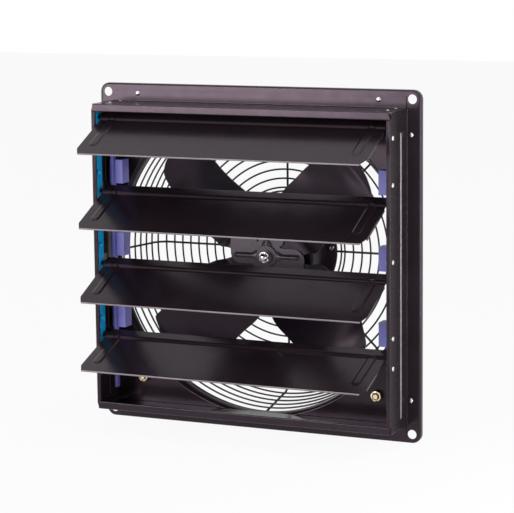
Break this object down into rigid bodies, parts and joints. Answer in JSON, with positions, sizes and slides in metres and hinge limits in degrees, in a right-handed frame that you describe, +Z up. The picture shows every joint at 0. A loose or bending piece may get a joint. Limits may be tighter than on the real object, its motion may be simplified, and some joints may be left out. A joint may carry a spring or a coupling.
{
  "type": "shutter exhaust fan",
  "caption": "Square wall fan that draws room air through a wire guard and blows it out through linked, hinged shutters in a folded box.",
  "frame": {"origin": "centre of the round wall opening, on the front face of the mounting plate", "axes": "+X to the right seen from the shutters, +Y from the shutters towards the wire guard along the fan's axis, +Z up"},
  "size_m": [0.45, 0.2647, 0.45],
  "materials": {
    "painted_steel": "gloss black paint",
    "painted_aluminium": "gloss black paint",
    "blue_plastic": "satin",
    "violet_plastic": "satin",
    "black_plastic": "matte",
    "bright_steel": "zinc plated",
    "yellow_zinc": "yellow zinc plated",
    "cast_aluminium": "cast",
    "core_steel": "laminated"
  },
  "bodies": {
    "housing": {"mounting_plate": "painted_steel", "frame_top": "painted_steel", "frame_bottom": "painted_steel", "frame_left": "painted_steel", "frame_right": "painted_steel", "bearing_strip_left": "blue_plastic", "bearing_strip_right": "blue_plastic", "flange_rivet_top_left": "bright_steel", "flange_rivet_top_right": "bright_steel", "flange_rivet_bottom_left": "bright_steel", "flange_rivet_bottom_right": "bright_steel", "flange_rivet_left_top": "bright_steel", "flange_rivet_right_top": "bright_steel", "flange_rivet_left_bottom": "bright_steel", "flange_rivet_right_bottom": "bright_steel", "side_rivet_left_1": "bright_steel", "side_rivet_left_2": "bright_steel", "side_rivet_left_3": "bright_steel", "side_rivet_left_4": "bright_steel", "side_rivet_left_5": "bright_steel", "side_rivet_right_1": "bright_steel", "side_rivet_right_2": "bright_steel", "side_rivet_right_3": "bright_steel", "side_rivet_right_4": "bright_steel", "side_rivet_right_5": "bright_steel", "corner_nut_top_left": "yellow_zinc", "corner_nut_top_right": "yellow_zinc", "corner_nut_bottom_left": "yellow_zinc", "corner_nut_bottom_right": "yellow_zinc", "motor_shell": "painted_steel", "motor_front_cap": "cast_aluminium", "motor_rear_cap": "cast_aluminium", "stator_core": "core_steel", "bearing_front": "bright_steel", "bearing_rear": "bright_steel", "motor_bracket": "painted_steel", "mount_bolt_1": "bright_steel", "mount_bolt_2": "bright_steel", "mount_bolt_3": "bright_steel", "mount_bolt_4": "bright_steel", "cable_gland": "black_plastic", "wire_guard": "painted_steel"},
    "fan_rotor": {"hub_spider": "painted_steel", "fan_blade_1": "painted_aluminium", "fan_blade_2": "painted_aluminium", "fan_blade_3": "painted_aluminium", "fan_blade_4": "painted_aluminium", "hub_collar": "cast_aluminium", "hub_washer": "bright_steel", "hub_nut": "bright_steel", "motor_shaft": "bright_steel", "rotor_core": "core_steel"},
    "shutter_1": {"shutter_blade_1": "painted_aluminium"},
    "shutter_2": {"shutter_blade_2": "painted_aluminium"},
    "shutter_3": {"shutter_blade_3": "painted_aluminium"},
    "shutter_4": {"shutter_blade_4": "painted_aluminium"},
    "link_left": {"link_bar_left": "violet_plastic"},
    "link_right": {"link_bar_right": "violet_plastic"}
  },
  "joints": [
    {"name": "fan_spin", "type": "hinge", "parent": "housing", "child": "fan_rotor", "pos_m": [0, 0.032, 0], "axis": [0, 1, 0], "continuous": true},
    {"name": "shutter_1_pivot", "type": "hinge", "parent": "housing", "child": "shutter_1", "pos_m": [0, -0.046, 0.1835], "axis": [1, 0, 0], "range_deg": [-17, 57]},
    {"name": "shutter_2_pivot", "type": "hinge", "parent": "housing", "child": "shutter_2", "pos_m": [0, -0.046, 0.0875], "axis": [1, 0, 0], "range_deg": [-17, 57]},
    {"name": "shutter_3_pivot", "type": "hinge", "parent": "housing", "child": "shutter_3", "pos_m": [0, -0.046, -0.0085], "axis": [1, 0, 0], "range_deg": [-17, 57]},
    {"name": "shutter_4_pivot", "type": "hinge", "parent": "housing", "child": "shutter_4", "pos_m": [0, -0.046, -0.1045], "axis": [1, 0, 0], "range_deg": [-17, 57]},
    {"name": "link_left_hinge", "type": "hinge", "parent": "shutter_1", "child": "link_left", "pos_m": [-0.193, -0.02909, 0.17734], "axis": [1, 0, 0], "range_deg": [-57, 17]},
    {"name": "link_right_hinge", "type": "hinge", "parent": "shutter_1", "child": "link_right", "pos_m": [0.193, -0.02909, 0.17734], "axis": [1, 0, 0], "range_deg": [-57, 17]}
  ],
  "couplings": [
    {"joint": "shutter_2_pivot", "follows": "shutter_1_pivot", "ratio": 1},
    {"joint": "shutter_3_pivot", "follows": "shutter_1_pivot", "ratio": 1},
    {"joint": "shutter_4_pivot", "follows": "shutter_1_pivot", "ratio": 1},
    {"joint": "link_left_hinge", "follows": "shutter_1_pivot", "ratio": -1},
    {"joint": "link_right_hinge", "follows": "shutter_1_pivot", "ratio": -1}
  ]
}
